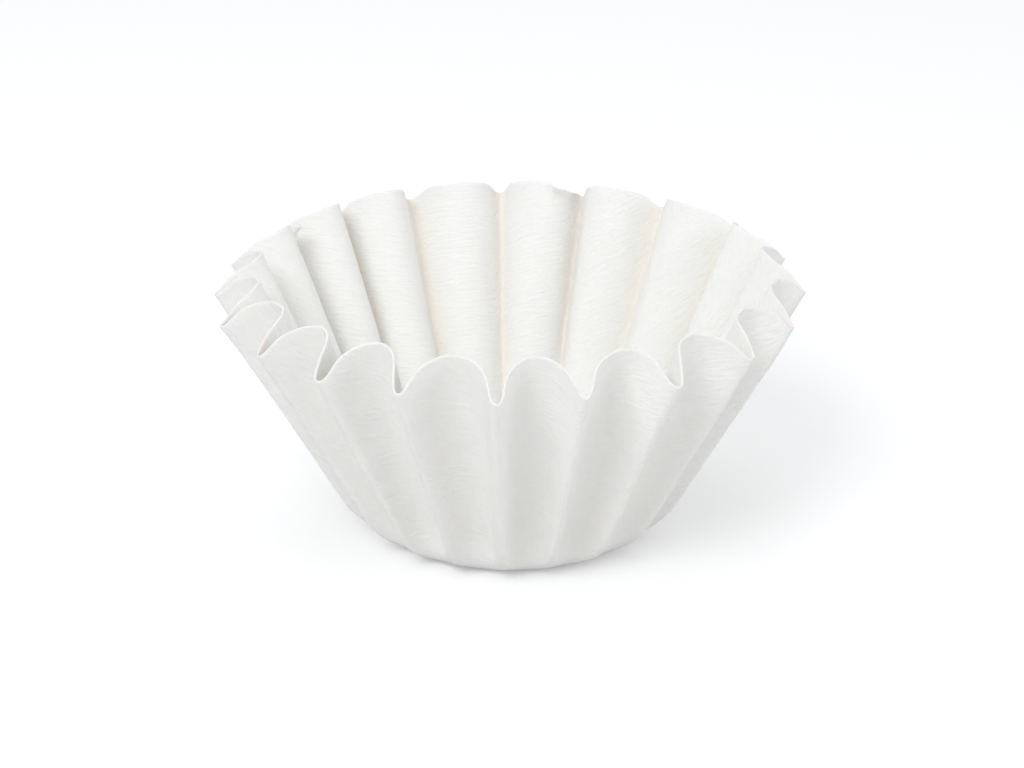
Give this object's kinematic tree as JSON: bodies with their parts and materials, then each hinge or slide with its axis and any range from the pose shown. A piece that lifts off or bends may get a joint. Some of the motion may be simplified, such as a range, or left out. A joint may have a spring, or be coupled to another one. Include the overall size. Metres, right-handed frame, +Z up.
{
  "type": "paper coffee filter",
  "caption": "White paper coffee filter with a flat round base and a flaring wall of soft vertical flutes, opened out and standing upright.",
  "frame": {"origin": "middle of the flat base's underside", "axes": "+Z up the middle of the basket towards its open top; +X and +Y level, with the widest and shallowest flutes half way between +X and +Y"},
  "size_m": [0.1036, 0.1037, 0.049],
  "materials": {
    "filter_paper": "matt creped white paper"
  },
  "bodies": {
    "root": {"fluted_sheet": "filter_paper"}
  },
  "joints": []
}
